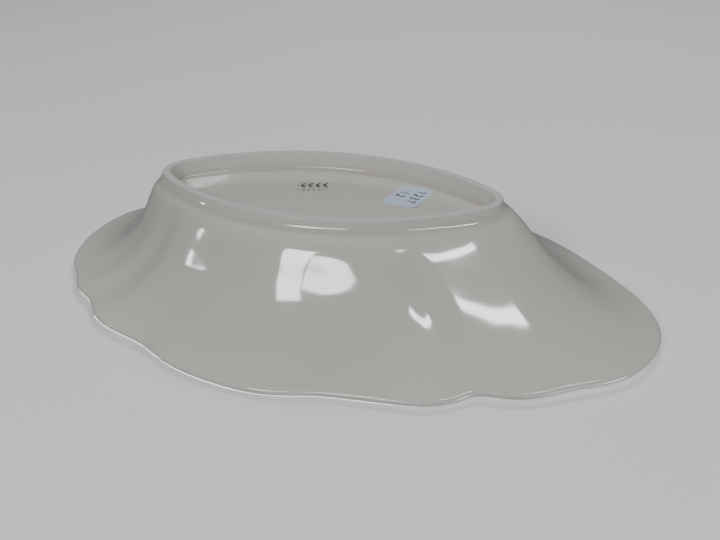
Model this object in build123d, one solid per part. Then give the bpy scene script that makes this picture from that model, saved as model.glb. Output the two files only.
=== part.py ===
from build123d import *
import math
import os

# Oval porcelain serving bowl with a wavy, flared rim, standing on an oval foot ring.
# Millimetres. The origin is the centre of the foot's standing plane, +X runs along the bowl's
# length and +Z points up out of the bowl.

# ---- Driving dimensions ----

# Foot ring: a four-arc oval, measured over its standing edge.
foot_length = 137.0
foot_width = 69.5
foot_end_radius = 13.0
foot_edge_width = 3.0
foot_height = 4.5
foot_lean = 1.2
foot_round = 0.9
bare_edge_height = 0.6

# Base panel inside the foot ring.
recess_depth = 6.5
recess_lean = 1.6
recess_round = 1.2
floor_thickness = 3.4
# The wall starts a little outside the top of the foot ring, so that their faces don't share an edge.
joint_step = 0.2

# Rim: its length and width are taken over its calm outline, and lip_height is the height at which
# the outside of the wall meets the rounded edge. The ends of the rim dip a little.
rim_length = 250.0
rim_width = 160.0
rim_offset_x = 6.3
rim_offset_y = -0.6
lip_height = 45.2
end_dip = 2.0

# Wall: its thickness, and the handles of its double curve at the sides and at the ends. The shoulder
# is the curve's reach at the foot, the flare its reach at the rim, and the rise is the share of the
# height at which the flare sets in.
wall = 3.0
side_shoulder = 12.0
end_shoulder = 7.0
side_flare = 35.0
end_flare = 36.0
side_rise = 0.48
end_rise = 0.88

# How many points go round each section of the wall, how many sections go up it, and the directions
# in degrees of the points over the rim's rounded edge.
station_count = 72
level_count = 18
edge_turns = (0, 45, 90, 135, 180)
slope_step = 0.002

# Calm outline of the rim, before its waves, as shares of half its length and half its width.
rim_outline = (
    (1.00, 0.13),
    (0.86, 0.57),
    (0.46, 0.84),
    (-0.09, 0.99),
    (-0.54, 0.77),
    (-0.84, 0.42),
    (-1.00, -0.13),
    (-0.94, -0.62),
    (-0.52, -0.94),
    (-0.03, -1.00),
    (0.50, -0.96),
    (0.83, -0.47),
)

# Waves of the rim: (direction in degrees from +X, half width in degrees, reach out from the calm
# outline in mm, how quickly the wave fades down the wall).
rim_waves = (
    (26, 6.0, -3.4, 3.0),
    (41, 4.0, -3.6, 2.0),
    (53, 7.4, 2.6, 3.0),
    (76, 10.8, -2.6, 3.0),
    (132, 9.7, -2.8, 2.5),
    (157, 5.9, -4.1, 1.2),
    (169, 5.2, -2.7, 2.0),
    (232, 8.0, -2.8, 2.5),
    (262, 12.0, -2.0, 3.0),
    (290, 9.0, -2.4, 2.5),
)

# Printed mark under the base: a leaf sprig over two rows of dashes.
stamp_x = -9.5
stamp_y = -10.5
stamp_turn = -15.0
print_thickness = 0.05
sprig_width = 12.0
leaf_length = 3.4
leaf_width = 1.3
leaf_lean = 50.0
stem_width = 0.35
leaf_count = 4
dash_length = 1.3
dash_width = 0.45
dash_pitch = 2.1
dash_rows = (6, 4)
dash_row_gap = 1.5

# Paper price label on the base, and the pen strokes on it.
label_length = 21.0
label_width = 14.0
label_corner = 2.5
label_thickness = 0.15
label_x = 31.0
label_y = -9.0
label_turn = 104.0
pen_width = 0.45
digit_height = 3.6
digit_width = 2.0
digit_pitch = 3.3
long_row_y = 1.2
short_row_y = -5.0

# Pen paths of the figures one, two, three and seven, as shares of their width and height.
figures = (
    ((0.5, 0.0), (0.5, 1.0)),
    ((0.0, 0.8), (0.6, 1.0), (1.0, 0.7), (0.0, 0.0), (1.0, 0.0)),
    ((0.0, 1.0), (1.0, 1.0), (0.4, 0.6), (1.0, 0.3), (0.5, 0.0), (0.0, 0.1)),
    ((0.0, 1.0), (1.0, 1.0), (0.3, 0.0)),
)

# ---- Sizes that follow from these ----

foot_top_outset = foot_lean + joint_step
floor_top = recess_depth + floor_thickness
edge_radius = wall / 2

# ---- Foot oval ----


def oval_arcs(outset):
    """Half length, half width, end radius and side radius of the foot oval, moved out by outset."""
    half_length = foot_length / 2 + outset
    half_width = foot_width / 2 + outset
    end_radius = foot_end_radius + outset
    run = half_length - end_radius
    side_radius = (run**2 + half_width**2 - end_radius**2) / (2 * (half_width - end_radius))
    return half_length, half_width, end_radius, side_radius


def oval_reach(angle, outset):
    """Distance from the centre to the foot oval in one direction."""
    half_length, half_width, end_radius, side_radius = oval_arcs(outset)
    across = abs(math.cos(angle))
    along_y = abs(math.sin(angle))
    side_centre = side_radius - half_width
    reach = math.sqrt(side_radius**2 - (side_centre * across) ** 2) - side_centre * along_y
    end_centre = half_length - end_radius
    joint_x = end_centre * side_radius / (side_radius - end_radius)
    if reach * across > joint_x:
        reach = end_centre * across + math.sqrt(end_radius**2 - (end_centre * along_y) ** 2)
    return reach


# ---- Rim ----


def rim_reaches(count):
    """Rim directions and reaches, evenly spread along the calm outline."""
    half_x = rim_length / 2 - edge_radius
    half_y = rim_width / 2 - edge_radius
    points = [(rim_offset_x + x * half_x, rim_offset_y + y * half_y) for x, y in rim_outline]
    calm = Edge.make_spline(points, periodic=True)
    spots = [calm.position_at(number / count) for number in range(count)]
    return [(math.atan2(spot.Y, spot.X), math.hypot(spot.X, spot.Y)) for spot in spots]


def wave_reach(angle, level):
    """How far the rim waves move the wall in or out at one direction and level."""
    total = 0.0
    for direction, half_width, reach, fade in rim_waves:
        apart = (math.degrees(angle) - direction + 180) % 360 - 180
        total += reach * level**fade * math.exp(-((apart / half_width) ** 2))
    return total


# ---- Wall ----


def curve(level, first, second, last):
    """A cubic curve from 0 to last, drawn by its two handles."""
    back = 1 - level
    return 3 * back**2 * level * first + 3 * back * level**2 * second + level**3 * last


def wall_point(angle, rim_reach, level):
    """A point of the wall's outside."""
    endness = math.cos(angle) ** 4
    shoulder = side_shoulder + (end_shoulder - side_shoulder) * endness
    flare = side_flare + (end_flare - side_flare) * endness
    flare_rise = side_rise + (end_rise - side_rise) * endness
    start = oval_reach(angle, foot_top_outset)
    width = rim_reach - start
    reach = start + curve(level, shoulder, width - flare, width) + wave_reach(angle, level)
    rise = lip_height - end_dip * math.cos(angle) ** 2 - foot_height
    height = foot_height + curve(level, 0, flare_rise * rise, rise)
    return Vector(reach * math.cos(angle), reach * math.sin(angle), height)


def wall_thickness(level):
    """The wall thickens from its full height down to the floor."""
    return wall + (floor_top - foot_height - wall) * (1 - level) ** 3


def ring_of(points):
    """A closed smooth wire through points that are spread the same way round at every level."""
    count = len(points)
    spots = [number / count for number in range(count + 1)]
    return Wire([Edge.make_spline(points, periodic=True, parameters=spots)])


def wall_rows(stations, level):
    """Outside points, inside points and up-the-wall directions at one level."""
    low = max(level - slope_step, 0.0)
    high = min(level + slope_step, 1.0)
    outside = [wall_point(angle, reach, level) for angle, reach in stations]
    inside = []
    climbs = []
    for number, (angle, reach) in enumerate(stations):
        climb = (wall_point(angle, reach, high) - wall_point(angle, reach, low)).normalized()
        if level == 0.0:
            climb = Vector(math.cos(angle), math.sin(angle), 0)
        following = outside[(number + 1) % len(outside)]
        around = (following - outside[number - 1]).normalized()
        inward = climb.cross(around).normalized()
        inside.append(outside[number] + inward * wall_thickness(level))
        climbs.append(around.cross(inward).normalized())
    return outside, inside, climbs


def rim_rows(outside, inside, climbs):
    """Rows of points over the rounded edge of the rim, from the outside to the inside."""
    rows = []
    for turn in edge_turns:
        across = math.cos(math.radians(turn))
        over = edge_radius * math.sin(math.radians(turn))
        row = []
        for near, far, climb in zip(outside, inside, climbs):
            middle = (near + far) * 0.5
            row.append(middle + (near - middle) * across + climb * over)
        rows.append(row)
    return rows


def skin(rows):
    """A smooth face through rows of points."""
    return Shell.make_loft([ring_of(row) for row in rows]).faces()


def make_shell():
    """The bowl's wall, rim and floor as one closed body, with a flat underside at the foot's top."""
    stations = rim_reaches(station_count)
    rows = [wall_rows(stations, number / (level_count - 1)) for number in range(level_count)]
    faces = skin([outside for outside, inside, climbs in rows])
    faces += skin([inside for outside, inside, climbs in rows])
    faces += skin(rim_rows(*rows[-1]))
    outside, inside, climbs = rows[0]
    faces += [Face(ring_of(outside)), Face(ring_of(inside))]
    return Solid(Shell(faces))


# ---- Foot ring and base recess ----


def oval_wire(outset, height):
    """The foot oval as a wire of four tangent arcs."""
    half_length, half_width, end_radius, side_radius = oval_arcs(outset)
    end_centre = half_length - end_radius
    side_centre = side_radius - half_width
    joint = math.degrees(math.atan2(side_centre, end_centre))
    arcs = [
        CenterArc((end_centre, 0, height), end_radius, -joint, 2 * joint),
        CenterArc((0, -side_centre, height), side_radius, joint, 180 - 2 * joint),
        CenterArc((-end_centre, 0, height), end_radius, 180 - joint, 2 * joint),
        CenterArc((0, side_centre, height), side_radius, 180 + joint, 180 - 2 * joint),
    ]
    return Wire(arcs)


def oval_block(low_outset, high_outset, top):
    """A solid oval that leans evenly from the standing plane up to its top."""
    return Solid.make_loft([oval_wire(low_outset, 0), oval_wire(high_outset, top)], ruled=True)


def make_recess():
    """The space under the base, inside the foot ring."""
    block = oval_block(-foot_edge_width, -foot_edge_width - recess_lean, recess_depth)
    return fillet(block.faces().sort_by(Axis.Z)[-1].edges(), recess_round)


def make_foot(recess):
    """The foot ring with its standing edge rounded."""
    ring = oval_block(0, foot_lean, foot_height) - recess
    return fillet(ring.faces().sort_by(Axis.Z)[0].edges(), foot_round)


# ---- Print and label ----


def under_base(x, y, turn, depth):
    """A place below the base panel, for a drawing that reads the right way round from below."""
    return Pos(x, y, recess_depth - depth) * Rot(Z=turn) * Rot(X=180)


def leaf(length, width):
    """A pointed leaf that starts at the origin and lies along +X."""
    half = width / 2
    edges = [
        ThreePointArc((0, 0), (length / 2, half), (length, 0)),
        ThreePointArc((length, 0), (length / 2, -half), (0, 0)),
    ]
    return make_face(edges)


def make_stamp():
    """The printed mark on the base panel."""
    shapes = [Rectangle(sprig_width, stem_width)]
    spread = sprig_width / leaf_count
    for number in range(leaf_count):
        spot = -sprig_width / 2 + spread * (number + 0.5)
        for lean in (leaf_lean, -leaf_lean):
            shapes.append(Pos(spot, 0) * Rot(Z=lean) * leaf(leaf_length, leaf_width))
    for row, count in enumerate(dash_rows):
        drop = -leaf_length - dash_row_gap * (row + 0.5)
        for number in range(count):
            spot = dash_pitch * (number - (count - 1) / 2)
            shapes.append(Pos(spot, drop) * Rectangle(dash_length, dash_width))
    place = under_base(stamp_x, stamp_y, stamp_turn, 0)
    return place * extrude(Sketch() + shapes, print_thickness)


def make_label():
    """The paper label, stuck under the base panel."""
    face = RectangleRounded(label_length, label_width, label_corner)
    return under_base(label_x, label_y, label_turn, 0) * extrude(face, label_thickness)


def make_writing():
    """Plain figures in pen, in a long row and a short row."""
    strokes = []
    for row, row_y in ((figures, long_row_y), (figures[:2], short_row_y)):
        start = -digit_pitch * len(row) / 2
        for number, figure in enumerate(row):
            left = start + number * digit_pitch
            points = [(left + x * digit_width, row_y + y * digit_height) for x, y in figure]
            strokes.append(trace(Polyline(points), pen_width))
    ink = extrude(Sketch() + strokes, print_thickness)
    return under_base(label_x, label_y, label_turn, label_thickness) * ink


# ---- Parts ----

recess = make_recess()
foot = make_foot(recess)
slab = Pos(0, 0, bare_edge_height / 2) * Box(2 * foot_length, 2 * foot_length, bare_edge_height)
parts = {
    "bowl_body": make_shell() - recess,
    "foot_ring": foot - slab,
    "foot_bare_edge": foot & slab,
    "backstamp": make_stamp(),
    "price_label": make_label(),
    "label_writing": make_writing(),
}

os.makedirs("parts", exist_ok=True)
for name, shape in parts.items():
    export_step(shape, f"parts/{name}.step")
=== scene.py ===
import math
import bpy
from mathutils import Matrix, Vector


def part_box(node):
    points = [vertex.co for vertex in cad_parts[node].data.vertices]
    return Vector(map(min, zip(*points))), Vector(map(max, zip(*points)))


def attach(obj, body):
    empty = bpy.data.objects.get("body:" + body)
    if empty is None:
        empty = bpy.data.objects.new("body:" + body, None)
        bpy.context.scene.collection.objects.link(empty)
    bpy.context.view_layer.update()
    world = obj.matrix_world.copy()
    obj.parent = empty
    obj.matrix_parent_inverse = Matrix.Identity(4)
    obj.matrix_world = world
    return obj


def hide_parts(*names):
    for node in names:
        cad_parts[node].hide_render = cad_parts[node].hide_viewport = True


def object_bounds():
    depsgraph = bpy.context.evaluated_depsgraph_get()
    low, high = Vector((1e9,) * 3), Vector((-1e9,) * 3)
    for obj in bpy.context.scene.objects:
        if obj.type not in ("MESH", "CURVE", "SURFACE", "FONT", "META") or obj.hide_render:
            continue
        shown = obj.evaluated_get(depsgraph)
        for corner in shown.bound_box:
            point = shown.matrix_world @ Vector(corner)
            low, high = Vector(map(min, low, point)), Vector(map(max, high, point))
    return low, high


bl_info = {
    "name": "Oval serving bowl",
    "version": (1, 0, 0),
    "blender": (4, 5, 0),
    "location": "3D View > Sidebar > Serving bowl",
    "description": "Builds a glazed oval serving bowl with a wavy rim around its packed CAD model",
    "category": "Add Mesh",
}

import bpy
import numpy as np
from bpy.props import FloatProperty, FloatVectorProperty, IntProperty, PointerProperty
from mathutils import Matrix, Vector

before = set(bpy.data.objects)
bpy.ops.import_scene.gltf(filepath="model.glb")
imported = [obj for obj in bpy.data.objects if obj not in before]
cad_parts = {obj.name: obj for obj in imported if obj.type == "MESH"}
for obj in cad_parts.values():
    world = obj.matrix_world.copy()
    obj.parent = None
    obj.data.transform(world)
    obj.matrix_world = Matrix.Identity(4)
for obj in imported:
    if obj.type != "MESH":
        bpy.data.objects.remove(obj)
cad_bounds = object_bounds()
body_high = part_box("bowl_body")[1]

mm = 0.001

# Calm outline of the rim, before its waves, as shares of half its length and half its width.
RIM_OUTLINE = (
    (1.00, 0.13),
    (0.86, 0.57),
    (0.46, 0.84),
    (-0.09, 0.99),
    (-0.54, 0.77),
    (-0.84, 0.42),
    (-1.00, -0.13),
    (-0.94, -0.62),
    (-0.52, -0.94),
    (-0.03, -1.00),
    (0.50, -0.96),
    (0.83, -0.47),
)

# Waves of the rim: (direction in degrees from +X, half width in degrees, reach out from the calm
# outline in mm, how quickly the wave fades down the wall).
RIM_WAVES = (
    (26, 6.0, -3.4, 3.0),
    (41, 4.0, -3.6, 2.0),
    (53, 7.4, 2.6, 3.0),
    (76, 10.8, -2.6, 3.0),
    (132, 9.7, -2.8, 2.5),
    (157, 5.9, -4.1, 1.2),
    (169, 5.2, -2.7, 2.0),
    (232, 8.0, -2.8, 2.5),
    (262, 12.0, -2.0, 3.0),
    (290, 9.0, -2.4, 2.5),
)


# ---- Sizes and colours that a user may change ----


def length(name, description, default):
    return FloatProperty(
        name=name, description=description, default=default, precision=5, unit="LENGTH"
    )


def count(name, description, default):
    return IntProperty(name=name, description=description, default=default, min=1)


def share(name, description, default):
    return FloatProperty(name=name, description=description, default=default, min=0.0, max=1.0)


def turn(name, description, degrees):
    return FloatProperty(
        name=name, description=description, default=math.radians(degrees), subtype="ANGLE"
    )


def colour(name, description, default):
    return FloatVectorProperty(
        name=name, description=description, default=default, size=3, subtype="COLOR", min=0.0, max=1.0
    )


def spot_at(name, description, default):
    return FloatVectorProperty(
        name=name, description=description, default=default, size=3, subtype="XYZ", unit="LENGTH",
        precision=4,
    )


class FootSizes(bpy.types.PropertyGroup):
    foot_length: length("Foot length", "Length of the foot ring's standing edge", 137.0 * mm)
    foot_width: length("Foot width", "Width of the foot ring's standing edge", 69.5 * mm)
    foot_end: length("Foot end radius", "Radius of the foot oval at its two ends", 13.0 * mm)
    foot_edge: length("Foot edge width", "Width of the standing edge", 3.0 * mm)
    foot_height: length("Foot height", "Height of the foot ring's outside", 4.5 * mm)
    foot_lean: length("Foot lean", "How far the outside leans out by its top", 1.2 * mm)
    foot_round: length("Foot round", "Rounding of the standing edge", 0.9 * mm)
    bare_height: length("Bare height", "Height of the unglazed edge", 0.6 * mm)
    glaze_step: length("Glaze step", "How far the bare edge sits behind the glaze", 0.06 * mm)
    glaze_round: length("Glaze round", "Rounding of the glaze where it ends", 0.2 * mm)
    recess_depth: length("Recess depth", "Height of the base panel above the standing edge", 6.5 * mm)
    recess_lean: length("Recess lean", "How far the recess narrows by its top", 1.6 * mm)
    recess_round: length("Recess round", "Rounding between the recess and the base panel", 1.2 * mm)


class WallSizes(bpy.types.PropertyGroup):
    rim_length: length("Rim length", "Length of the rim's calm outline", 250.0 * mm)
    rim_width: length("Rim width", "Width of the rim's calm outline", 160.0 * mm)
    rim_x: length("Rim offset along", "How far the rim's middle lies along the bowl", 6.3 * mm)
    rim_y: length("Rim offset across", "How far the rim's middle lies across the bowl", -0.6 * mm)
    lip_height: length("Lip height", "Height at which the outside meets the rim's edge", 45.2 * mm)
    end_dip: length("End dip", "How far the rim dips at its two ends", 2.0 * mm)
    wall: length("Wall", "Thickness of the wall", 3.0 * mm)
    floor_thickness: length("Floor thickness", "Thickness of the floor over the recess", 3.4 * mm)
    wall_start: length("Wall start", "How far outside the foot oval the wall begins", 1.4 * mm)
    cove: length("Cove", "Reach of the hollow between the foot ring and the wall", 1.9 * mm)
    side_shoulder: length("Side shoulder", "Reach of the shoulder's curve at the sides", 12.0 * mm)
    end_shoulder: length("End shoulder", "Reach of the shoulder's curve at the ends", 7.0 * mm)
    side_flare: length("Side flare", "Reach of the rim's flare at the sides", 35.0 * mm)
    end_flare: length("End flare", "Reach of the rim's flare at the ends", 36.0 * mm)
    side_rise: share("Side rise", "Share of the height at which the sides' flare sets in", 0.48)
    end_rise: share("End rise", "Share of the height at which the ends' flare sets in", 0.88)
    wobble: length("Wobble", "Unevenness of the cast wall", 0.16 * mm)
    wobble_size: length("Wobble size", "How far apart the wall's uneven places are", 26.0 * mm)
    columns: count("Columns", "Faces round the bowl", 360)
    wall_rows: count("Wall rows", "Rows of points up each side of the wall", 46)
    edge_rows: count("Edge rows", "Rows of points over the rim's edge", 9)
    cove_rows: count("Cove rows", "Rows of points over the cove", 8)
    disc_rows: count("Disc rows", "Rows of points from the middle to the edge of a flat disc", 12)


class MarkSizes(bpy.types.PropertyGroup):
    stamp_x: length("Stamp along", "Where the printed mark lies along the base", -9.5 * mm)
    stamp_y: length("Stamp across", "Where the printed mark lies across the base", -10.5 * mm)
    stamp_turn: turn("Stamp turn", "Turn of the printed mark", -15.0)
    print_thickness: length("Print thickness", "Thickness of the print", 0.05 * mm)
    sprig: length("Sprig width", "Length of the sprig's stem", 12.0 * mm)
    leaf_length: length("Leaf length", "Length of a leaf", 3.4 * mm)
    leaf_width: length("Leaf width", "Width of a leaf", 1.3 * mm)
    leaf_lean: turn("Leaf lean", "Angle between a leaf and the stem", 50.0)
    leaves: count("Leaves", "Pairs of leaves on the stem", 4)
    stem_width: length("Stem width", "Width of the stem", 0.35 * mm)
    dash_length: length("Dash length", "Length of one dash", 1.3 * mm)
    dash_width: length("Dash width", "Width of one dash", 0.45 * mm)
    dash_pitch: length("Dash pitch", "Distance from one dash to the next", 2.1 * mm)
    dash_gap: length("Dash row gap", "Distance from one row of dashes to the next", 1.5 * mm)
    dashes: count("Dashes", "Dashes in the first row", 6)
    last_dashes: count("Last dashes", "Dashes in the second row", 4)


class LabelSizes(bpy.types.PropertyGroup):
    label_length: length("Label length", "Length of the paper label", 21.0 * mm)
    label_width: length("Label width", "Width of the paper label", 14.0 * mm)
    label_corner: length("Label corner", "Corner radius of the paper label", 2.5 * mm)
    label_thickness: length("Label thickness", "Thickness of the paper", 0.15 * mm)
    label_x: length("Label along", "Where the label lies along the base", 31.0 * mm)
    label_y: length("Label across", "Where the label lies across the base", -9.0 * mm)
    label_turn: turn("Label turn", "Turn of the label", 104.0)
    label_lift: length("Label lift", "How far one corner of the label stands off", 0.35 * mm)
    pen_width: length("Pen width", "Width of a pen stroke", 0.70 * mm)
    ink_height: length("Ink height", "Height of a pen stroke over the paper", 0.05 * mm)
    digit_height: length("Digit height", "Height of a written figure", 3.6 * mm)
    digit_width: length("Digit width", "Width of a written figure", 2.0 * mm)
    digit_pitch: length("Digit pitch", "Distance from one figure to the next", 3.3 * mm)
    long_row: length("Long row", "How far the long row stands from the label's middle", 1.2 * mm)
    short_row: length("Short row", "How far the short row stands from the label's middle", -5.0 * mm)


class Finishes(bpy.types.PropertyGroup):
    glaze: colour("Glaze", "Ivory glaze", (0.58, 0.562, 0.525))
    # Deep glaze: darker glaze, also used as painted shade in the cove and the recess's corner.
    deep_glaze_and_shade: colour("Deep glaze and shade", "Glaze where it has run together", (0.46, 0.435, 0.385))
    # Thin glaze: paler glaze over the rim's edge, also used as a painted highlight along it.
    thin_glaze_and_highlight: colour("Thin glaze and highlight", "Glaze over the rim's edge", (0.68, 0.67, 0.65))
    fleck: colour("Fleck", "Small iron flecks in the glaze", (0.16, 0.12, 0.09))
    bare: colour("Bare porcelain", "Unglazed standing edge", (0.55, 0.54, 0.55))
    bare_tint: colour("Glaze line", "Tint where the glaze ends", (0.58, 0.45, 0.38))
    stamp_green: colour("Print", "Grey-green print under the glaze", (0.065, 0.075, 0.055))
    paper: colour("Paper", "Bluish white label paper", (0.50, 0.58, 0.74))
    paper_fibre: colour("Paper fibre", "Darker fibres in the paper", (0.40, 0.46, 0.60))
    ink: colour("Ink", "Dark blue pen ink", (0.012, 0.015, 0.045))
    floor: colour("Floor", "Pale studio floor", (0.90, 0.90, 0.905))


class Studio(bpy.types.PropertyGroup):
    eye: spot_at("Eye", "Where the camera stands, below the bowl's base", (0.0923, 0.2960, -0.1225))
    aim: spot_at("Aim", "The point that the camera looks at", (0.0147, 0.0045, 0.0345))
    lens: FloatProperty(name="Lens", description="Focal length in mm", default=42.5, min=1.0)
    daylight: FloatProperty(
        name="Daylight", description="Strength of the light from all round", default=0.165, min=0.0
    )


# ---- Writing node trees ----


class Term:
    """A number or vector in a node tree. Arithmetic on it adds the nodes that work it out."""

    def __init__(self, socket):
        self.socket = socket
        self.tree = socket.id_data

    def do(self, operation, *others):
        fed = dict(enumerate((self, *others)))
        return Term(add(self.tree, "ShaderNodeMath", fed, operation=operation).outputs[0])

    def __add__(self, other):
        return self.do("ADD", other)

    def __sub__(self, other):
        return self.do("SUBTRACT", other)

    def __rsub__(self, other):
        return self * -1 + other

    def __mul__(self, other):
        return self.do("MULTIPLY", other)

    def __truediv__(self, other):
        return self.do("DIVIDE", other)

    def __pow__(self, other):
        return self.do("POWER", other)

    __radd__ = __add__
    __rmul__ = __mul__


def feed(socket, value):
    """Links a term or socket to an input, or sets the input to a plain value."""
    if isinstance(value, Term):
        value = value.socket
    if isinstance(value, bpy.types.NodeSocket):
        socket.id_data.links.new(value, socket)
    else:
        socket.default_value = value


def add(tree, kind, fed=None, **settings):
    """Adds a node, sets it up, and feeds its inputs by name or place."""
    node = tree.nodes.new(kind)
    for name, value in settings.items():
        setattr(node, name, value)
    for name, value in (fed or {}).items():
        feed(node.inputs[name], value)
    return node


def vector(operation, *values):
    """A vector sum, product or length."""
    tree = next(value.tree for value in values if isinstance(value, Term))
    node = add(tree, "ShaderNodeVectorMath", dict(enumerate(values)), operation=operation)
    return Term(node.outputs["Value" if operation == "LENGTH" else "Vector"])


def scaled(value, factor):
    node = add(value.tree, "ShaderNodeVectorMath", {0: value, "Scale": factor}, operation="SCALE")
    return Term(node.outputs["Vector"])


def point(tree, x, y, z):
    return Term(add(tree, "ShaderNodeCombineXYZ", {"X": x, "Y": y, "Z": z}).outputs[0])


def parts(value):
    node = add(value.tree, "ShaderNodeSeparateXYZ", {0: value})
    return [Term(output) for output in node.outputs]


def between(first, second, factor):
    return first + (second - first) * factor


def held(value):
    """A term kept between 0 and 1."""
    return value.do("MAXIMUM", 0.0).do("MINIMUM", 1.0)


def in_direction(tree, angle, reach, height):
    """The point at a distance from the upright axis, in one direction and at one height."""
    return point(tree, reach * angle.do("COSINE"), reach * angle.do("SINE"), height)


def sizes_of(*groups):
    """The sizes of some property groups, by the names that the trees' inputs have."""
    found = {}
    for group in groups:
        for key in type(group).__annotations__:
            found[group.bl_rna.properties[key].name] = getattr(group, key)
    return found


def new_tree(name, inputs, outputs):
    """A geometry tree with named inputs and outputs: the tree, its input terms and its end."""
    tree = bpy.data.node_groups.new(name, "GeometryNodeTree")
    for label, kind in outputs.items():
        tree.interface.new_socket(label, in_out="OUTPUT", socket_type=kind)
    for label, kind in inputs.items():
        tree.interface.new_socket(label, in_out="INPUT", socket_type=kind)
    entry = tree.nodes.new("NodeGroupInput")
    terms = {label: Term(entry.outputs[label]) for label in inputs}
    return tree, terms, tree.nodes.new("NodeGroupOutput")


def kinds_of(sizes):
    return {
        label: "NodeSocketInt" if isinstance(value, int) else "NodeSocketFloat"
        for label, value in sizes.items()
    }


def call(group, tree, fed):
    """Uses a group in a tree, feeding the inputs that it has."""
    node = add(tree, "GeometryNodeGroup", node_tree=group)
    for label, value in fed.items():
        if label in node.inputs:
            feed(node.inputs[label], value)
    return Term(node.outputs[0])


def joined(tree, geometries):
    join = tree.nodes.new("GeometryNodeJoinGeometry")
    for geometry in geometries:
        tree.links.new(geometry, join.inputs[0])
    return join.outputs[0]


def moved(tree, geometry, position):
    fed = {"Geometry": geometry, "Position": position}
    return add(tree, "GeometryNodeSetPosition", fed).outputs[0]


def merged(tree, geometry, distance):
    """Geometry whose points nearer than distance are made one."""
    fed = {"Geometry": geometry, "Distance": distance}
    return add(tree, "GeometryNodeMergeByDistance", fed).outputs[0]


def close_tree(tree, end, geometry, finish):
    """Ends a tree: real geometry, with its finish."""
    real = add(tree, "GeometryNodeRealizeInstances", {0: geometry}).outputs[0]
    done = add(tree, "GeometryNodeSetMaterial", {"Geometry": real, "Material": finish})
    feed(end.inputs[0], done.outputs[0])


def place_piece(name, mesh, slot, *nodes):
    """Puts a finished mesh in the scene as a piece that stands for CAD nodes."""
    piece = bpy.data.objects.new(name, mesh)
    bpy.context.scene.collection.objects.link(piece)
    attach(piece, "root")
    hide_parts(*nodes)


def carried(name, data):
    """An object that holds a mesh or curve while its modifiers run."""
    carrier = bpy.data.objects.new(name, data)
    bpy.context.scene.collection.objects.link(carrier)
    return carrier


def thicken(carrier, thickness):
    solidify = carrier.modifiers.new("thickness", "SOLIDIFY")
    solidify.thickness = thickness
    solidify.offset = 1.0


def settle(carrier, sharp_degrees):
    """The carrier's result as a plain smooth mesh. The carrier is removed."""
    settled = carrier.evaluated_get(bpy.context.evaluated_depsgraph_get())
    mesh = bpy.data.meshes.new_from_object(settled)
    bpy.data.objects.remove(carrier)
    mesh.shade_smooth()
    mesh.set_sharp_from_angle(angle=math.radians(sharp_degrees))
    return mesh


def grow(tree, base, values, skin=None):
    """Runs a tree on a base mesh or curve and gives back the result as a plain mesh."""
    carrier = carried("carrier", base)
    modifier = carrier.modifiers.new("shape", "NODES")
    modifier.node_group = tree
    for socket in tree.interface.items_tree:
        if socket.in_out == "INPUT" and socket.name in values:
            modifier[socket.identifier] = values[socket.name]
    if skin is not None:
        thicken(carrier, skin)
    return settle(carrier, 38.0)


# ---- Shape of the foot oval and the wall ----


def oval_group(foot):
    """Node group: distance from the centre to the foot oval, moved out by an outset."""
    inputs = {**kinds_of(foot), "Angle": "NodeSocketFloat", "Outset": "NodeSocketFloat"}
    tree, term, end = new_tree("foot oval", inputs, {"Reach": "NodeSocketFloat"})
    half_length = term["Foot length"] / 2 + term["Outset"]
    half_width = term["Foot width"] / 2 + term["Outset"]
    end_radius = term["Foot end radius"] + term["Outset"]
    run = half_length - end_radius
    side_radius = (run**2 + half_width**2 - end_radius**2) / ((half_width - end_radius) * 2)
    across = term["Angle"].do("COSINE").do("ABSOLUTE")
    along_y = term["Angle"].do("SINE").do("ABSOLUTE")
    side_centre = side_radius - half_width
    side = (side_radius**2 - (side_centre * across) ** 2).do("SQRT") - side_centre * along_y
    tip = run * across + (end_radius**2 - (run * along_y) ** 2).do("SQRT")
    joint_x = run * side_radius / (side_radius - end_radius)
    at_end = (side * across).do("GREATER_THAN", joint_x)
    feed(end.inputs["Reach"], between(side, tip, at_end))
    return tree


def curve(level, first, second, last):
    """A cubic curve from 0 to last, drawn by its two handles."""
    back = 1 - level
    return back**2 * level * first * 3 + back * level**2 * second * 3 + level**3 * last


def wall_group(foot, wall, oval):
    """Node group: a point of the wall's outside, from the rim point above it and its level."""
    inputs = {**kinds_of(foot), **kinds_of(wall), "Rim point": "NodeSocketVector"}
    inputs["Level"] = "NodeSocketFloat"
    tree, term, end = new_tree("wall outside", inputs, {"Point": "NodeSocketVector"})
    level = term["Level"]
    x, y, z = parts(term["Rim point"])
    angle = y.do("ARCTAN2", x)
    rim_reach = vector("LENGTH", term["Rim point"])
    degrees = angle.do("DEGREES")
    endness = angle.do("COSINE") ** 4
    shoulder = between(term["Side shoulder"], term["End shoulder"], endness)
    flare = between(term["Side flare"], term["End flare"], endness)
    flare_rise = between(term["Side rise"], term["End rise"], endness)
    start = call(oval, tree, {**term, "Angle": angle, "Outset": term["Wall start"]})
    width = rim_reach - start
    reach = start + curve(level, shoulder, width - flare, width)
    for direction, half_width, wave, fade in RIM_WAVES:
        apart = (degrees - direction).do("WRAP", 180.0, -180.0) / half_width
        reach = reach + (apart**2 * -1).do("EXPONENT") * level**fade * (wave * mm)
    rise = term["Lip height"] - angle.do("COSINE") ** 2 * term["End dip"] - term["Foot height"]
    height = term["Foot height"] + curve(level, 0, rise * flare_rise, rise)
    feed(end.inputs["Point"], in_direction(tree, angle, reach, height))
    return tree


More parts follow.
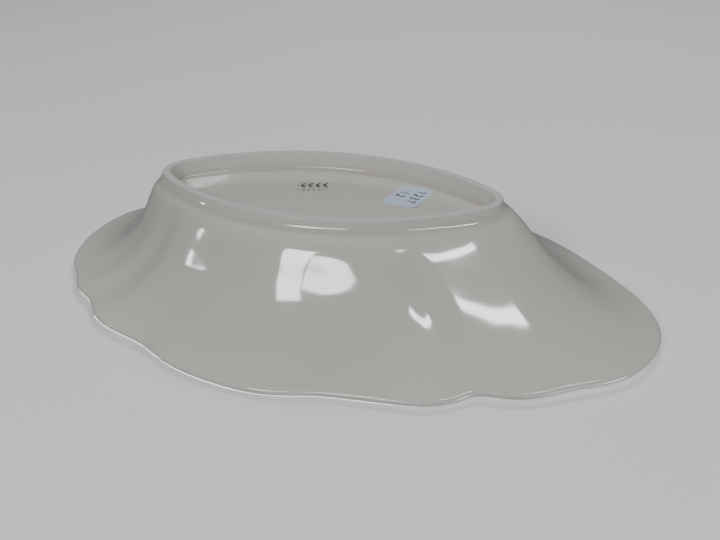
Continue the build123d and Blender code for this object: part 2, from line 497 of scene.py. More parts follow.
def skin_group(foot, wall, outside):
    """Node group: a point anywhere on the wall: outside, inside or over the edge of the rim."""
    inputs = {**kinds_of(foot), **kinds_of(wall)}
    inputs.update({label: "NodeSocketVector" for label in ("Before", "Here", "After")})
    inputs.update({label: "NodeSocketFloat" for label in ("Level", "Across", "Over")})
    tree, term, end = new_tree("wall skin", inputs, {"Point": "NodeSocketVector"})
    level = term["Level"]
    step = 0.002

    def spot(rim_point, height):
        return call(outside, tree, {**term, "Rim point": rim_point, "Level": height})

    low = spot(term["Here"], (level - step).do("MAXIMUM", 0.0))
    high = spot(term["Here"], (level + step).do("MINIMUM", 1.0))
    climb = vector("SUBTRACT", high, low)
    around = vector("SUBTRACT", spot(term["After"], level), spot(term["Before"], level))
    inward = vector("NORMALIZE", vector("CROSS_PRODUCT", climb, around))
    upward = vector("NORMALIZE", vector("CROSS_PRODUCT", around, inward))
    floor_top = term["Recess depth"] + term["Floor thickness"]
    extra = floor_top - term["Foot height"] - term["Wall"]
    thickness = term["Wall"] + extra * (1 - level) ** 3
    shifted = vector("ADD", spot(term["Here"], level), scaled(inward, thickness * term["Across"]))
    feed(end.inputs["Point"], vector("ADD", shifted, scaled(upward, term["Over"])))
    return tree


# ---- Strips of faces round the bowl ----


def strip(tree, columns, rows, place, pool_and_shade=0.0, thin_and_highlight=0.0):
    """A band of faces round the bowl. place gives each point's position from its column and row."""
    grid = add(tree, "GeometryNodeMeshGrid", {"Vertices X": columns + 1, "Vertices Y": rows})
    index = Term(add(tree, "GeometryNodeInputIndex").outputs[0])
    column = ((index + 0.5) / rows).do("FLOOR")
    row = index - column * rows
    column = column.do("WRAP", columns, 0.0)
    geometry = moved(tree, grid.outputs["Mesh"], place(column, row))
    # The stored values: darker glaze in creases (pooled glaze with painted shade), and a paler rim edge
    # (thinner glaze with a painted highlight).
    for name, value in (("pool_and_shade", pool_and_shade), ("thin_and_highlight", thin_and_highlight)):
        value = value(row) if callable(value) else value
        fed = {"Geometry": geometry, "Name": name, "Value": value}
        geometry = add(tree, "GeometryNodeStoreNamedAttribute", fed, data_type="FLOAT").outputs[0]
    return geometry


def sampled(tree, geometry, index):
    """The position of one point of a curve or mesh."""
    spot = add(tree, "GeometryNodeInputPosition").outputs[0]
    fed = {"Geometry": geometry, "Value": spot, "Index": index}
    node = add(tree, "GeometryNodeSampleIndex", fed, data_type="FLOAT_VECTOR", domain="POINT")
    return Term(node.outputs[0])


def pick(tree, kind, values):
    """One of several values, by a point's place in its curve."""
    switch = add(tree, "GeometryNodeIndexSwitch", data_type=kind)
    while len(switch.index_switch_items) < len(values):
        switch.index_switch_items.new()
    feed(switch.inputs["Index"], add(tree, "GeometryNodeInputIndex").outputs[0])
    for number, value in enumerate(values):
        feed(switch.inputs[number + 1], value)
    return switch.outputs[0]


def section(tree, corners, steps, closed):
    """A section drawn through corners (outset, height, rounding), and how many points it has."""
    line = add(tree, "GeometryNodeMeshLine", {"Count": len(corners)}).outputs[0]
    spots = [point(tree, outset, height, 0.0) for outset, height, rounding in corners]
    line = moved(tree, line, pick(tree, "VECTOR", spots))
    line = add(tree, "GeometryNodeMeshToCurve", {0: line}).outputs[0]
    line = add(tree, "GeometryNodeSetSplineCyclic", {"Geometry": line, "Cyclic": closed}).outputs[0]
    roundings = pick(tree, "FLOAT", [rounding for outset, height, rounding in corners])
    fed = {"Curve": line, "Radius": roundings, "Limit Radius": True, "Count": steps}
    line = add(tree, "GeometryNodeFilletCurve", fed, mode="POLY").outputs[0]
    size = add(tree, "GeometryNodeAttributeDomainSize", {0: line}, component="CURVE")
    return line, Term(size.outputs["Point Count"])


def around_oval(tree, oval, term, angle, outset, height):
    """The point over the foot oval in one direction, moved out by outset."""
    reach = call(oval, tree, {**term, "Angle": angle, "Outset": outset})
    return in_direction(tree, angle, reach, height)


# ---- Bowl body ----


def rim_curve(wall):
    """The calm outline of the rim as a closed smooth curve through its few points."""
    half_x = (wall.rim_length - wall.wall) / 2
    half_y = (wall.rim_width - wall.wall) / 2
    spots = np.array([(wall.rim_x + x * half_x, wall.rim_y + y * half_y) for x, y in RIM_OUTLINE])
    number = len(spots)
    ahead = np.roll(spots, -1, axis=0) - spots
    gaps = np.linalg.norm(ahead, axis=1)
    matrix = np.zeros((number, number))
    wanted = np.zeros((number, 2))
    for here in range(number):
        before, after = gaps[here - 1], gaps[here]
        matrix[here, here - 1] = 1 / before
        matrix[here, here] = 2 / before + 2 / after
        matrix[here, (here + 1) % number] = 1 / after
        wanted[here] = 3 * (ahead[here - 1] / before**2 + ahead[here] / after**2)
    slopes = np.linalg.solve(matrix, wanted)
    outline = bpy.data.curves.new("rim outline", "CURVE")
    outline.dimensions = "3D"
    spline = outline.splines.new("BEZIER")
    spline.bezier_points.add(number - 1)
    spline.use_cyclic_u = True
    spline.resolution_u = 64
    for here, knot in enumerate(spline.bezier_points):
        knot.handle_left_type = knot.handle_right_type = "FREE"
        knot.co = (*spots[here], 0.0)
        knot.handle_left = (*(spots[here] - slopes[here] * gaps[here - 1] / 3), 0.0)
        knot.handle_right = (*(spots[here] + slopes[here] * gaps[here] / 3), 0.0)
    return outline


def body_tree(foot, wall, oval, outside, skin):
    """Node tree: the bowl's wall, rim, floor and base as one closed skin, from its rim outline."""
    inputs = {"Rim outline": "NodeSocketGeometry", **kinds_of(foot), **kinds_of(wall)}
    inputs["Finish"] = "NodeSocketMaterial"
    tree, term, end = new_tree("bowl body", inputs, {"Bowl": "NodeSocketGeometry"})
    columns = term["Columns"]
    fed = {"Curve": term["Rim outline"], "Count": columns}
    rim = add(tree, "GeometryNodeResampleCurve", fed, mode="COUNT").outputs[0]

    def rim_point(column, offset=0):
        return sampled(tree, rim, (column + offset).do("WRAP", columns, 0.0))

    def on_skin(column, level, across, over):
        near = {"Before": rim_point(column, -1), "Here": rim_point(column)}
        near.update({"After": rim_point(column, 1), "Level": level, "Across": across})
        return call(skin, tree, {**term, **near, "Over": over})

    def angle_of(column):
        x, y, z = parts(rim_point(column))
        return y.do("ARCTAN2", x)

    def cove_level(angle):
        endness = angle.do("COSINE") ** 4
        return term["Cove"] / (between(term["Side shoulder"], term["End shoulder"], endness) * 3)

    # The wall: up the outside, over the edge of the rim and down the inside.
    rise_rows = term["Wall rows"] - 1
    last_row = rise_rows * 2 + term["Edge rows"] + 1

    def edge_turn(row):
        return held((row - rise_rows) / (term["Edge rows"] + 1)) * math.pi

    def wall_place(column, row):
        turned = edge_turn(row)
        share_up = (row / rise_rows).do("MINIMUM", (last_row - row) / rise_rows).do("MINIMUM", 1.0)
        lowest = cove_level(angle_of(column)) * row.do("LESS_THAN", last_row / 2)
        level = between(lowest, 1.0, share_up)
        across = (1 - turned.do("COSINE")) / 2
        return on_skin(column, level, across, turned.do("SINE") * term["Wall"] / 2)

    # The rim's edge gets a paler glaze: thinner glaze with a painted highlight.
    wall_strip = strip(
        tree, columns, last_row + 1, wall_place, thin_and_highlight=lambda row: edge_turn(row).do("SINE")
    )

    # The floor inside, from its edge to its middle.
    def floor_place(column, row):
        left = 1 - row / (term["Disc rows"] - 1)
        x, y, z = parts(on_skin(column, 0.0, 1.0, 0.0))
        return point(tree, x * left, y * left, z)

    floor_strip = strip(tree, columns, term["Disc rows"], floor_place)

    # The base panel and the recess round it, from the middle outwards.
    inner = (term["Foot edge width"] + term["Recess lean"]) * -1
    panel_outset = inner - term["Recess round"] * 2
    at_ring = term["Foot height"] / term["Recess depth"] * term["Recess lean"]

    def panel_place(column, row):
        angle = angle_of(column)
        edge = around_oval(tree, oval, term, angle, panel_outset, term["Recess depth"])
        x, y, z = parts(edge)
        out = row / (term["Disc rows"] - 1)
        return point(tree, x * out, y * out, z)

    panel_strip = strip(tree, columns, term["Disc rows"], panel_place)
    corners = [
        (panel_outset, term["Recess depth"], 0.0),
        (inner, term["Recess depth"], term["Recess round"]),
        ((term["Foot edge width"] + at_ring) * -1, term["Foot height"], 0.0),
        (term["Foot edge width"] * -0.5, term["Foot height"], 0.0),
    ]
    profile, profile_rows = section(tree, corners, 7, False)

    def recess_place(column, row):
        outset, height, flat = parts(sampled(tree, profile, row))
        return around_oval(tree, oval, term, angle_of(column), outset, height)

    # Darkens the glaze at the recess's rounded corner: pooled glaze with painted shade.
    def recess_pool_and_shade(row):
        outset, height, flat = parts(sampled(tree, profile, row))
        return (1 - ((outset - inner) / term["Recess round"]).do("ABSOLUTE")).do("MAXIMUM", 0.0)

    recess_strip = strip(tree, columns, profile_rows, recess_place, pool_and_shade=recess_pool_and_shade)

    # The cove, from inside the foot ring, down its outside and out along the wall.
    slope_step = 0.004
    cove_drop = 0.9

    def bend(share_out, first, middle, last):
        back = 1 - share_out
        return back**2 * first + back * share_out * middle * 2 + share_out**2 * last

    def cove_place(column, row):
        angle = angle_of(column)
        level = cove_level(angle)
        share_out = ((row - 1) / (term["Cove rows"] - 1)).do("MAXIMUM", 0.0)
        near = {**term, "Rim point": rim_point(column)}
        far = call(outside, tree, {**near, "Level": level})
        further = call(outside, tree, {**near, "Level": level + slope_step})
        far_z = parts(far)[2]
        flat = point(tree, 1.0, 1.0, 0.0)
        far_reach = vector("LENGTH", vector("MULTIPLY", far, flat))
        further_reach = vector("LENGTH", vector("MULTIPLY", further, flat))
        slope = (parts(further)[2] - far_z) / (further_reach - far_reach)
        turn_reach = call(oval, tree, {**term, "Angle": angle, "Outset": term["Foot lean"]})
        turn_z = far_z - slope * (far_reach - turn_reach)
        low_z = turn_z - term["Cove"] * cove_drop
        low_outset = term["Foot lean"] * low_z / term["Foot height"]
        low_reach = call(oval, tree, {**term, "Angle": angle, "Outset": low_outset})
        reach = bend(share_out, low_reach, turn_reach, far_reach)
        height = bend(share_out, low_z, turn_z, far_z)
        hidden_outset = term["Foot edge width"] * -0.5
        hidden_reach = call(oval, tree, {**term, "Angle": angle, "Outset": hidden_outset})
        shown = row.do("GREATER_THAN", 0.5)
        reach = between(hidden_reach, reach, shown)
        height = between(term["Foot height"], height, shown)
        return in_direction(tree, angle, reach, height)

    # Darkens the glaze along the cove: pooled glaze with painted shade.
    def cove_pool_and_shade(row):
        return ((row - 1) / (term["Cove rows"] - 1) * math.pi).do("SINE").do("MAXIMUM", 0.0)

    cove_strip = strip(tree, columns, term["Cove rows"] + 1, cove_place, pool_and_shade=cove_pool_and_shade)

    strips = [panel_strip, recess_strip, cove_strip, wall_strip, floor_strip]
    whole = merged(tree, joined(tree, strips), 0.004 * mm)

    # The cast wall is never quite even. The base stays true, so that it meets the foot ring.
    even_below = 7.0 * mm
    uneven_over = 8.0 * mm
    spot = Term(add(tree, "GeometryNodeInputPosition").outputs[0])
    normal = Term(add(tree, "GeometryNodeInputNormal").outputs[0])
    fed = {"Vector": spot, "Scale": term["Wobble size"] ** -1, "Detail": 1.0}
    noise = Term(add(tree, "ShaderNodeTexNoise", fed).outputs[0])
    above_base = held((parts(spot)[2] - even_below) / uneven_over)
    shift = (noise - 0.5) * term["Wobble"] * above_base * 2
    fed = {"Geometry": whole, "Offset": scaled(normal, shift)}
    whole = add(tree, "GeometryNodeSetPosition", fed).outputs[0]
    close_tree(tree, end, whole, term["Finish"])
    return tree


class BOWL_OT_body(bpy.types.Operator):
    """Builds the bowl's wall, wavy rim, floor and base as one closed glazed skin"""

    bl_idname = "bowl.body"
    bl_label = "Bowl body"

    def execute(self, context):
        foot = sizes_of(context.scene.bowl_foot)
        wall = sizes_of(context.scene.bowl_wall)
        oval = oval_group(foot)
        outside = wall_group(foot, wall, oval)
        skin = skin_group(foot, wall, outside)
        tree = body_tree(foot, wall, oval, outside, skin)
        finish = glaze_finish(context.scene.bowl_finishes, "ivory glaze")
        mesh = grow(tree, rim_curve(context.scene.bowl_wall), {**foot, **wall, "Finish": finish})
        place_piece("bowl_skin", mesh, "glazed_porcelain", "bowl_body")
        return {"FINISHED"}


# ---- Foot ring ----


def ring_tree(foot, oval):
    """Node tree: one layer of the foot ring, swept round the oval."""
    inputs = {"Base": "NodeSocketGeometry", **kinds_of(foot), "Columns": "NodeSocketInt"}
    inputs.update({label: "NodeSocketFloat" for label in ("Lowest", "Highest", "Rounding", "Set back")})
    inputs["Finish"] = "NodeSocketMaterial"
    tree, term, end = new_tree("foot ring", inputs, {"Ring": "NodeSocketGeometry"})

    def outside(height):
        return height / term["Foot height"] * term["Foot lean"] - term["Set back"]

    def inside(height):
        lean = height / term["Recess depth"] * term["Recess lean"]
        return term["Set back"] - term["Foot edge width"] - lean

    low = term["Lowest"]
    high = term["Highest"]
    corners = [
        (inside(low), low, term["Rounding"]),
        (outside(low), low, term["Rounding"]),
        (outside(high), high, 0.0),
        (inside(high), high, 0.0),
    ]
    profile, rows = section(tree, corners, 12, True)
    columns = term["Columns"]

    def ring_place(column, row):
        outset, height, flat = parts(sampled(tree, profile, row.do("WRAP", rows, 0.0)))
        return around_oval(tree, oval, term, column / columns * math.tau, outset, height)

    ring = strip(tree, columns, rows + 1, ring_place)
    close_tree(tree, end, merged(tree, ring, 0.002 * mm), term["Finish"])
    return tree


class BOWL_OT_foot(bpy.types.Operator):
    """Builds the glazed foot ring and its bare standing edge"""

    bl_idname = "bowl.foot"
    bl_label = "Foot ring"

    def execute(self, context):
        foot = context.scene.bowl_foot
        sizes = sizes_of(foot)
        finishes = context.scene.bowl_finishes
        tree = ring_tree(sizes, oval_group(sizes))
        shared = {**sizes, "Columns": context.scene.bowl_wall.columns}
        glazed = {
            "Lowest": foot.bare_height,
            "Highest": foot.foot_height,
            "Rounding": foot.glaze_round,
            "Set back": 0.0,
            "Finish": glaze_finish(finishes, "foot glaze"),
        }
        bare = {
            "Lowest": 0.0,
            "Highest": foot.bare_height,
            "Rounding": foot.foot_round,
            "Set back": foot.glaze_step,
            "Finish": bare_finish(finishes, foot.bare_height),
        }
        ring = grow(tree, bpy.data.meshes.new("ring base"), {**shared, **glazed})
        place_piece("foot_ring_glazed", ring, "foot_glaze", "foot_ring")
        edge = grow(tree, bpy.data.meshes.new("edge base"), {**shared, **bare})
        place_piece("foot_standing_edge", edge, "bare_porcelain", "foot_bare_edge")
        return {"FINISHED"}


# ---- Printed mark ----


def under_base(mesh, foot, x, y, turned, drop):
    """Moves a flat drawing under the base panel, lower by drop, to be read from below."""
    depth = foot.recess_depth - drop
    mesh.transform(Matrix.Rotation(math.pi, 4, "X"))
    mesh.transform(Matrix.Translation((x, y, depth)) @ Matrix.Rotation(turned, 4, "Z"))
    mesh.update()


def stamp_tree(marks):
    """Node tree: a flat sprig of leaves over two rows of dashes."""
    inputs = {"Base": "NodeSocketGeometry", **kinds_of(marks), "Finish": "NodeSocketMaterial"}
    tree, term, end = new_tree("printed mark", inputs, {"Mark": "NodeSocketGeometry"})
    index = Term(add(tree, "GeometryNodeInputIndex").outputs[0])
    leaf_points = 24
    corner_share = 0.45
    ring = add(tree, "GeometryNodeCurvePrimitiveCircle", {"Resolution": leaf_points}).outputs[0]
    turned = (index + 0.5) * (math.tau / leaf_points)
    side = turned.do("SINE")
    half_x = term["Leaf length"] / 2
    half_y = term["Leaf width"] / 2
    spot = point(tree, half_x - turned.do("COSINE") * half_x, side * side.do("ABSOLUTE") * half_y, 0.0)
    ring = moved(tree, ring, spot)
    leaf = add(tree, "GeometryNodeFillCurve", {"Curve": ring}, mode="NGONS").outputs[0]

    def row_of(number, pitch, drop):
        spread = point(tree, (number - 1) * pitch * -0.5, drop, 0.0)
        fed = {"Count": number, "Start Location": spread, "Offset": point(tree, pitch, 0.0, 0.0)}
        return add(tree, "GeometryNodeMeshLine", fed, mode="OFFSET").outputs[0]

    def copies(points, shape, angle=0.0):
        rotation = point(tree, 0.0, 0.0, angle)
        fed = {"Points": points, "Instance": shape, "Rotation": rotation}
        return add(tree, "GeometryNodeInstanceOnPoints", fed).outputs[0]

    def bar(width, height):
        fed = {"Width": width, "Height": height}
        box = add(tree, "GeometryNodeCurvePrimitiveQuadrilateral", fed).outputs[0]
        fed = {"Curve": box, "Radius": height * corner_share, "Count": 3}
        box = add(tree, "GeometryNodeFilletCurve", fed, mode="POLY").outputs[0]
        return add(tree, "GeometryNodeFillCurve", {"Curve": box}, mode="NGONS").outputs[0]

    leaf_row = row_of(term["Leaves"], term["Sprig width"] / term["Leaves"], 0.0)
    dash = bar(term["Dash length"], term["Dash width"])
    first_drop = term["Leaf length"] * -1 - term["Dash row gap"] / 2
    shapes = [
        copies(leaf_row, leaf, term["Leaf lean"]),
        copies(leaf_row, leaf, term["Leaf lean"] * -1),
        bar(term["Sprig width"], term["Stem width"]),
        copies(row_of(term["Dashes"], term["Dash pitch"], first_drop), dash),
        copies(row_of(term["Last dashes"], term["Dash pitch"], first_drop - term["Dash row gap"]), dash),
    ]
    close_tree(tree, end, joined(tree, shapes), term["Finish"])
    return tree


class BOWL_OT_stamp(bpy.types.Operator):
    """Prints a plain leaf sprig under the base"""

    bl_idname = "bowl.stamp"
    bl_label = "Printed mark"

    def execute(self, context):
        marks = context.scene.bowl_marks
        sizes = sizes_of(marks)
        finish = print_finish(context.scene.bowl_finishes)
        empty = bpy.data.meshes.new("mark base")
        values = {**sizes, "Finish": finish}
        mesh = grow(stamp_tree(sizes), empty, values, skin=marks.print_thickness)
        under_base(
            mesh, context.scene.bowl_foot, marks.stamp_x, marks.stamp_y, marks.stamp_turn, 0.0
        )
        place_piece("printed_sprig", mesh, "stamp_print", "backstamp")
        return {"FINISHED"}


# ---- Paper label and its writing ----


# Handwritten figures one, two, three and seven, as points to write through.
FIGURES = (
    ((0.25, 0.75), (0.5, 1.0), (0.48, 0.5), (0.46, 0.0)),
    ((0.05, 0.75), (0.35, 1.0), (0.85, 0.85), (0.7, 0.45), (0.0, 0.02), (0.45, 0.06), (1.0, 0.0)),
    ((0.05, 0.9), (0.5, 1.0), (0.85, 0.8), (0.4, 0.55), (0.9, 0.3), (0.5, 0.0), (0.0, 0.12)),
    ((0.0, 0.95), (0.5, 1.0), (1.0, 0.98), (0.6, 0.5), (0.35, 0.0)),
)


def writing_curve(label):
    """The pen's path over the label, as one spline for each figure."""
    path = bpy.data.curves.new("pen path", "CURVE")
    path.dimensions = "3D"
    for row, row_y in ((FIGURES, label.long_row), (FIGURES[:2], label.short_row)):
        start = -label.digit_pitch * len(row) / 2
        for number, figure in enumerate(row):
            spline = path.splines.new("POLY")
            spline.points.add(len(figure) - 1)
            left = start + number * label.digit_pitch
            for knot, (x, y) in zip(spline.points, figure):
                knot.co = (left + x * label.digit_width, row_y + y * label.digit_height, 0.0, 1.0)
    return path


def pen_tree(label):
    """Node tree: flat pen strokes along the pen's path."""
    inputs = {"Path": "NodeSocketGeometry", **kinds_of(label), "Finish": "NodeSocketMaterial"}
    tree, term, end = new_tree("pen strokes", inputs, {"Strokes": "NodeSocketGeometry"})
    fed = {"Curve": term["Path"]}
    smooth = add(tree, "GeometryNodeCurveSplineType", fed, spline_type="CATMULL_ROM").outputs[0]
    point_gap = 0.12 * mm
    fed = {"Curve": smooth, "Length": point_gap}
    even = add(tree, "GeometryNodeResampleCurve", fed, mode="LENGTH").outputs[0]
    spot = Term(add(tree, "GeometryNodeInputPosition").outputs[0])
    tremor_scale = 900.0
    fed = {"Vector": spot, "Scale": tremor_scale, "Detail": 1.0}
    noise = Term(add(tree, "ShaderNodeTexNoise", fed).outputs[0])
    along = Term(add(tree, "GeometryNodeSplineParameter").outputs["Factor"])
    pressure = (1 - (along * 2 - 1).do("ABSOLUTE") ** 6 * 0.45) * (noise * 0.7 + 0.65)
    fed = {"Resolution": 10, "Radius": term["Pen width"] / 2}
    nib = add(tree, "GeometryNodeCurvePrimitiveCircle", fed).outputs[0]
    fed = {"Curve": even, "Profile Curve": nib, "Scale": pressure, "Fill Caps": True}
    stroke = add(tree, "GeometryNodeCurveToMesh", fed).outputs[0]
    x, y, z = parts(spot)
    flat = point(tree, x, y, z * (term["Ink height"] / term["Pen width"] * 2))
    close_tree(tree, end, moved(tree, stroke, flat), term["Finish"])
    return tree


def label_mesh(label, finish):
    """A thin rounded sheet of paper with one corner standing off a little."""
    columns = 42
    rows = 28
    half_length = label.label_length / 2
    half_width = label.label_width / 2
    corner = label.label_corner
    lift_start = 0.6
    spots = []
    for row in range(rows + 1):
        v = -half_width * math.cos(math.pi * row / rows)
        past = max(0.0, abs(v) - (half_width - corner))
        half = half_length - corner + math.sqrt(max(0.0, corner**2 - past**2))
        for column in range(columns + 1):
            u = half * (2 * column / columns - 1)
            toward_corner = (u / half_length + v / half_width) / 2
            lift = max(0.0, toward_corner - lift_start) / (1 - lift_start)
            spots.append((u, v, label.label_lift * lift**2))
    faces = []
    for row in range(rows):
        for column in range(columns):
            first = row * (columns + 1) + column
            faces.append((first, first + 1, first + columns + 2, first + columns + 1))
    mesh = bpy.data.meshes.new("label sheet")
    mesh.from_pydata(spots, [], faces)
    mesh.materials.append(finish)
    sheet = carried("sheet", mesh)
    thicken(sheet, label.label_thickness)
    return settle(sheet, 35.0)


class BOWL_OT_label(bpy.types.Operator):
    """Sticks a written paper label under the base"""

    bl_idname = "bowl.label"
    bl_label = "Paper label"

    def execute(self, context):
        label = context.scene.bowl_label
        foot = context.scene.bowl_foot
        finishes = context.scene.bowl_finishes
        sizes = sizes_of(label)
        sheet = label_mesh(label, paper_finish(finishes))
        under_base(sheet, foot, label.label_x, label.label_y, label.label_turn, 0.0)
        place_piece("paper_label", sheet, "label_paper", "price_label")
        values = {**sizes, "Finish": ink_finish(finishes)}
        strokes = grow(pen_tree(sizes), writing_curve(label), values)
        under_base(
            strokes, foot, label.label_x, label.label_y, label.label_turn, label.label_thickness
        )
        place_piece("pen_writing", strokes, "pen_ink", "label_writing")
        return {"FINISHED"}


# ---- Finishes ----


def new_finish(name):
    """A material with a principled shader: its tree, its shader and the piece's own coordinates."""
    made = bpy.data.materials.new(name)
    made.use_nodes = True
    tree = made.node_tree
    tree.nodes.clear()
    shader = tree.nodes.new("ShaderNodeBsdfPrincipled")
    output = tree.nodes.new("ShaderNodeOutputMaterial")
    tree.links.new(shader.outputs[0], output.inputs["Surface"])
    spot = Term(tree.nodes.new("ShaderNodeTexCoord").outputs["Object"])
    return made, tree, shader, spot


def noise_of(tree, spot, size, detail=2.0, roughness=0.5):
    """Noise whose features are about size across."""
    fed = {"Vector": spot, "Scale": 1.0 / size, "Detail": detail, "Roughness": roughness}
    return Term(add(tree, "ShaderNodeTexNoise", fed).outputs[0])


def ramp(value, low, high):
    """Goes from 0 to 1 as the value goes from low to high."""
    fed = {"Value": value, "From Min": low, "From Max": high}
    node = add(value.tree, "ShaderNodeMapRange", fed, interpolation_type="SMOOTHSTEP")
    return Term(node.outputs[0])


def mixed(tree, factor, first, second):
    """Two colours mixed by a factor."""
    node = add(tree, "ShaderNodeMix", {"Factor": factor}, data_type="RGBA")
    feed(node.inputs[6], first if isinstance(first, bpy.types.NodeSocket) else (*first, 1.0))
    feed(node.inputs[7], second if isinstance(second, bpy.types.NodeSocket) else (*second, 1.0))
    return node.outputs[2]


def bumped(tree, shader, *layers):
    """Gives the shader bumps, each a height from 0 to 1 and its size in metres."""
    normal = None
    for height, size in layers:
        node = add(tree, "ShaderNodeBump", {"Height": height, "Distance": size})
        if normal is not None:
            feed(node.inputs["Normal"], normal)
        normal = node.outputs[0]
    feed(shader.inputs["Normal"], normal)


def attribute(tree, name):
    return Term(add(tree, "ShaderNodeAttribute", attribute_name=name).outputs["Fac"])


def glaze_finish(finishes, name):
    """Ivory glaze: glossy and a little uneven. It is darker in the cove and the recess's corner, as
    pooled glaze with painted shade, and paler over the rim's edge, as thinner glaze with a painted
    highlight.
    """
    made, tree, shader, spot = new_finish(name)
    cloud = ramp(noise_of(tree, spot, 38 * mm, 3.0), 0.3, 0.7)
    deep_and_shade = finishes.deep_glaze_and_shade
    pale = finishes.glaze
    base = mixed(tree, cloud * 0.10, pale, deep_and_shade)
    # Painted shade in the cove and the recess's corner, mixed with the darker colour of pooled glaze.
    base = mixed(tree, attribute(tree, "pool_and_shade") * 0.55, base, deep_and_shade)
    # Painted highlight along the rim's edge, mixed with the paler colour of thinner glaze.
    base = mixed(tree, attribute(tree, "thin_and_highlight") * 0.6, base, finishes.thin_glaze_and_highlight)
    fleck = ramp(noise_of(tree, spot, 0.9 * mm, 0.0), 0.865, 0.89)
    base = mixed(tree, fleck * 0.4, base, finishes.fleck)
    feed(shader.inputs["Base Color"], base)
    smear = noise_of(tree, spot, 17 * mm, 4.0, 0.62)
    feed(shader.inputs["Roughness"], smear * 0.10 + 0.045)
    shader.inputs["IOR"].default_value = 1.52
    shader.inputs["Coat Weight"].default_value = 0.55
    shader.inputs["Coat Roughness"].default_value = 0.03
    shader.inputs["Subsurface Weight"].default_value = 0.12
    shader.inputs["Subsurface Radius"].default_value = (1.0, 0.8, 0.6)
    shader.inputs["Subsurface Scale"].default_value = 2.5 * mm
    slow = noise_of(tree, spot, 13 * mm, 1.0)
    fine = noise_of(tree, spot, 1.6 * mm, 2.0)
    bumped(tree, shader, (slow, 0.10 * mm), (fine, 0.0016 * mm))
    return made


def bare_finish(finishes, height):
    """Ground, unglazed porcelain: dull and grainy, tinted where the glaze ends."""
    made, tree, shader, spot = new_finish("bare porcelain")
    grain = noise_of(tree, spot, 0.5 * mm, 4.0, 0.7)
    cloud = noise_of(tree, spot, 9 * mm, 3.0)
    grey = finishes.bare
    darker = tuple(part * 0.72 for part in grey)
    base = mixed(tree, ramp(grain, 0.35, 0.75) * 0.5, grey, darker)
    line = ramp(parts(spot)[2], height * 0.35, height) * ramp(cloud, 0.2, 0.6)
    base = mixed(tree, line * 0.7, base, finishes.bare_tint)
    feed(shader.inputs["Base Color"], base)
    feed(shader.inputs["Roughness"], grain * 0.25 + 0.6)
    bumped(tree, shader, (grain, 0.05 * mm))
    return made


def print_finish(finishes):
    """Grey-green print under the glaze, worn thin in places."""
    made, tree, shader, spot = new_finish("stamp print")
    worn = ramp(noise_of(tree, spot, 1.1 * mm, 4.0, 0.65), 0.46, 0.68)
    base = mixed(tree, worn * 0.45, finishes.stamp_green, finishes.deep_glaze_and_shade)
    feed(shader.inputs["Base Color"], base)
    feed(shader.inputs["Roughness"], worn * 0.1 + 0.12)
    shader.inputs["Coat Weight"].default_value = 0.4
    return made


def paper_finish(finishes):
    """Label paper: matt, fibrous and a little dusty."""
    made, tree, shader, spot = new_finish("label paper")
    fibre = noise_of(tree, spot, 0.45 * mm, 5.0, 0.7)
    cloud = noise_of(tree, spot, 6 * mm, 2.0)
    base = mixed(tree, ramp(fibre, 0.4, 0.75) * 0.5, finishes.paper, finishes.paper_fibre)
    base = mixed(tree, ramp(cloud, 0.45, 0.8) * 0.25, base, finishes.thin_glaze_and_highlight)
    feed(shader.inputs["Base Color"], base)
    feed(shader.inputs["Roughness"], fibre * 0.2 + 0.68)
    bumped(tree, shader, (fibre, 0.02 * mm))
    return made


def ink_finish(finishes):
    """Pen ink: dark, with thinner places along the stroke."""
    made, tree, shader, spot = new_finish("pen ink")
    density = ramp(noise_of(tree, spot, 0.7 * mm, 3.0, 0.6), 0.45, 0.75)
    paler = tuple(0.04 + part * 2.5 for part in finishes.ink)
    feed(shader.inputs["Base Color"], mixed(tree, density * 0.25, finishes.ink, paler))
    feed(shader.inputs["Roughness"], density * 0.25 + 0.35)
    return made


def floor_finish(finishes):
    """Pale floor that is seen from its upper side only."""
    made, tree, shader, spot = new_finish("pale floor")
    cloud = noise_of(tree, spot, 120 * mm, 2.0)
    darker = tuple(part * 0.97 for part in finishes.floor)
    feed(shader.inputs["Base Color"], mixed(tree, cloud, finishes.floor, darker))
    shader.inputs["Roughness"].default_value = 0.8
    shader.inputs["Specular IOR Level"].default_value = 0.2
    clear = tree.nodes.new("ShaderNodeBsdfTransparent")
    behind = tree.nodes.new("ShaderNodeNewGeometry").outputs["Backfacing"]
    both = add(tree, "ShaderNodeMixShader", {0: behind, 1: shader.outputs[0], 2: clear.outputs[0]})
    output = next(node for node in tree.nodes if node.type == "OUTPUT_MATERIAL")
    feed(output.inputs["Surface"], both.outputs[0])
    return made


# ---- Stage ----

# Soft boxes: (name, direction from the bowl, distance, width, height, power in watts).
SOFT_BOXES = (
    ("left_tall_box", (-0.245, 0.802, -0.545), 1.2, 0.30, 0.25, 4.8),
    ("left_low_box", (-0.015, 0.870, -0.492), 1.2, 0.26, 0.13, 2.0),
    ("right_box", (0.56, 0.25, -0.79), 1.3, 0.70, 0.07, 4.2),
    ("back_box", (-0.05, -0.62, -0.78), 1.4, 0.60, 0.24, 5.5),
    ("thin_box", (-0.92, 0.31, -0.20), 1.2, 0.03, 0.12, 0.3),
    ("upper_box", (-0.45, -0.55, 0.80), 1.4, 0.90, 0.90, 24.0),
    ("upper_fill", (0.80, 0.10, 0.60), 1.5, 0.60, 0.60, 9.0),
)


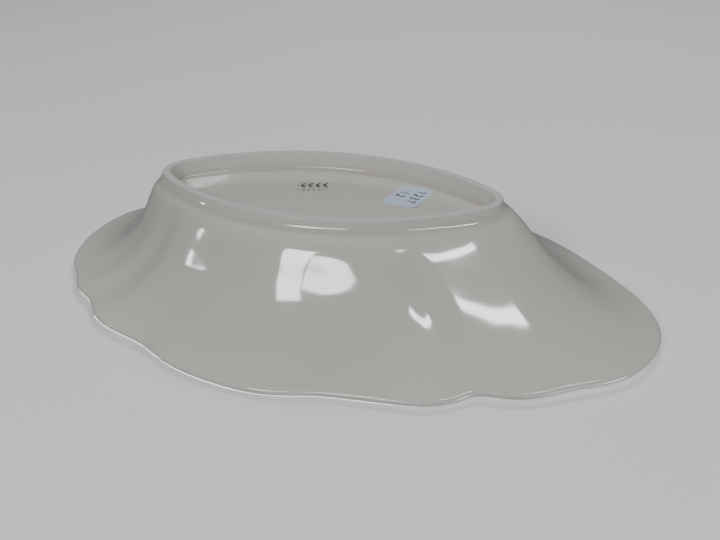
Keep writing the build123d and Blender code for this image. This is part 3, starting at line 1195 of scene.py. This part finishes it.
def add_floor(name, height, facing, finish):
    """A wide flat floor at one height, seen from one side."""
    reach = 12.0
    corners = [(-reach, -reach), (reach, -reach), (reach, reach), (-reach, reach)]
    order = (0, 1, 2, 3) if facing > 0 else (3, 2, 1, 0)
    mesh = bpy.data.meshes.new(name)
    mesh.from_pydata([(x, y, height) for x, y in corners], [], [order])
    mesh.materials.append(finish)
    floor = bpy.data.objects.new(name, mesh)
    bpy.context.scene.collection.objects.link(floor)
    floor.visible_shadow = False
    floor.visible_diffuse = False
    floor.visible_glossy = False
    floor.visible_transmission = False


def add_soft_box(name, direction, distance, width, height, power, middle):
    """A soft box that faces the bowl, with its height upright."""
    toward = Vector(direction).normalized()
    lamp = bpy.data.lights.new(name, "AREA")
    lamp.shape = "RECTANGLE"
    lamp.size = width
    lamp.size_y = height
    lamp.energy = power
    holder = bpy.data.objects.new(name, lamp)
    bpy.context.scene.collection.objects.link(holder)
    side = Vector((0, 0, 1)).cross(toward).normalized()
    turned = Matrix((side, toward.cross(side), toward)).transposed().to_4x4()
    holder.matrix_world = Matrix.Translation(middle + toward * distance) @ turned


class BOWL_OT_stage(bpy.types.Operator):
    """Sets up the pale floors, the soft light and the camera"""

    bl_idname = "bowl.stage"
    bl_label = "Stage"

    def execute(self, context):
        studio = context.scene.bowl_studio
        finish = floor_finish(context.scene.bowl_finishes)
        gap = 0.2 * mm
        add_floor("floor_under_foot", -gap, 1, finish)
        add_floor("floor_under_rim", body_high.z + gap, -1, finish)
        middle = (cad_bounds[0] + cad_bounds[1]) / 2
        for soft_box in SOFT_BOXES:
            add_soft_box(*soft_box, middle)
        world = bpy.data.worlds.new("studio")
        world.use_nodes = True
        background = world.node_tree.nodes["Background"]
        background.inputs["Color"].default_value = (1.0, 1.0, 1.0, 1.0)
        background.inputs["Strength"].default_value = studio.daylight
        context.scene.world = world
        lens = bpy.data.cameras.new("camera")
        lens.lens = studio.lens
        lens.clip_start = 0.01
        camera = bpy.data.objects.new("camera", lens)
        context.scene.collection.objects.link(camera)
        back = (Vector(studio.eye) - Vector(studio.aim)).normalized()
        right = Vector((0, 0, -1)).cross(back).normalized()
        turned = Matrix((right, back.cross(right), back)).transposed().to_4x4()
        camera.matrix_world = Matrix.Translation(studio.eye) @ turned
        context.scene.camera = camera
        return {"FINISHED"}


# ---- Add-on ----


class BOWL_PT_panel(bpy.types.Panel):
    """Buttons and sizes for the serving bowl"""

    bl_idname = "BOWL_PT_panel"
    bl_label = "Serving bowl"
    bl_space_type = "VIEW_3D"
    bl_region_type = "UI"
    bl_category = "Serving bowl"

    def draw(self, context):
        for operator in OPERATORS:
            self.layout.operator(operator.bl_idname)
        for key in GROUPS:
            group = getattr(context.scene, key)
            box = self.layout.box()
            for name in type(group).__annotations__:
                box.prop(group, name)


GROUPS = {
    "bowl_foot": FootSizes,
    "bowl_wall": WallSizes,
    "bowl_marks": MarkSizes,
    "bowl_label": LabelSizes,
    "bowl_finishes": Finishes,
    "bowl_studio": Studio,
}
OPERATORS = (BOWL_OT_stage, BOWL_OT_body, BOWL_OT_foot, BOWL_OT_stamp, BOWL_OT_label)


def register():
    for made in (*GROUPS.values(), *OPERATORS, BOWL_PT_panel):
        bpy.utils.register_class(made)
    for key, group in GROUPS.items():
        setattr(bpy.types.Scene, key, PointerProperty(type=group))


def unregister():
    for key in GROUPS:
        delattr(bpy.types.Scene, key)
    for made in (BOWL_PT_panel, *OPERATORS, *GROUPS.values()):
        bpy.utils.unregister_class(made)


def main():
    register()
    bpy.ops.bowl.stage()
    bpy.ops.bowl.body()
    bpy.ops.bowl.foot()
    bpy.ops.bowl.stamp()
    bpy.ops.bowl.label()


if __name__ == "__main__":
    main()
